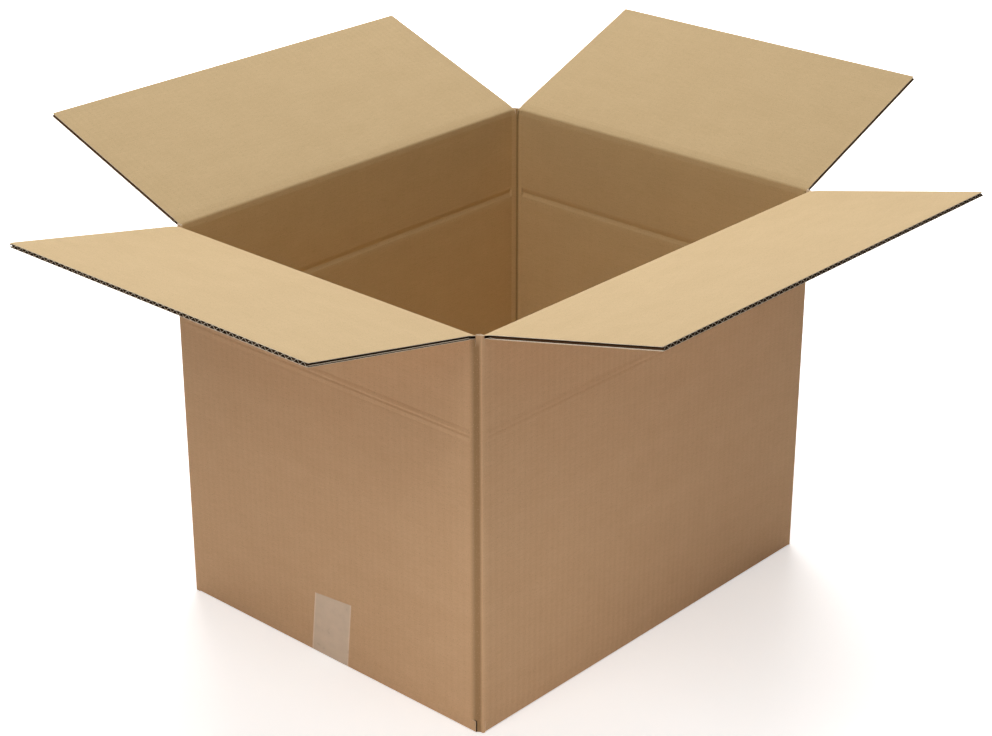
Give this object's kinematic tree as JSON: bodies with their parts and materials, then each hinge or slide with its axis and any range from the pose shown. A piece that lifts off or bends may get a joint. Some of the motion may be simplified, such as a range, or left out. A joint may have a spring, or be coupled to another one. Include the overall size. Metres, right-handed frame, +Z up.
{
  "type": "open cardboard box",
  "caption": "Plain corrugated shipping carton standing open, its top flaps folded out and its bottom seam taped.",
  "frame": {"origin": "middle of the footprint, on the underside of the tape that the carton stands on", "axes": "+Z up, +X along the long walls, +Y along the short walls; the tape end that leans is at -X"},
  "size_m": [0.8709, 0.7787, 0.4772],
  "materials": {
    "kraft_board": "kraft liner, matt, with a faint washboard of the flutes",
    "clear_tape": "clear polypropylene film, glossy"
  },
  "bodies": {
    "carton": {"carton_body": "kraft_board", "bottom_tape": "clear_tape"},
    "front_flap": {"long_flap_front": "kraft_board"},
    "back_flap": {"long_flap_back": "kraft_board"},
    "left_flap": {"short_flap_left": "kraft_board"},
    "right_flap": {"short_flap_right": "kraft_board"}
  },
  "joints": [
    {"name": "front_crease", "type": "hinge", "parent": "carton", "child": "front_flap", "pos_m": [0, -0.199, 0.40215], "axis": [1, 0, 0], "range_deg": [-167.1, 87.9]},
    {"name": "back_crease", "type": "hinge", "parent": "carton", "child": "back_flap", "pos_m": [0, 0.199, 0.40215], "axis": [-1, 0, 0], "range_deg": [-160.1, 94.9]},
    {"name": "left_crease", "type": "hinge", "parent": "carton", "child": "left_flap", "pos_m": [-0.2465, 0, 0.39785], "axis": [0, -1, 0], "range_deg": [-168.1, 86.9]},
    {"name": "right_crease", "type": "hinge", "parent": "carton", "child": "right_flap", "pos_m": [0.2465, 0, 0.39785], "axis": [0, 1, 0], "range_deg": [-157.3, 97.7]}
  ]
}
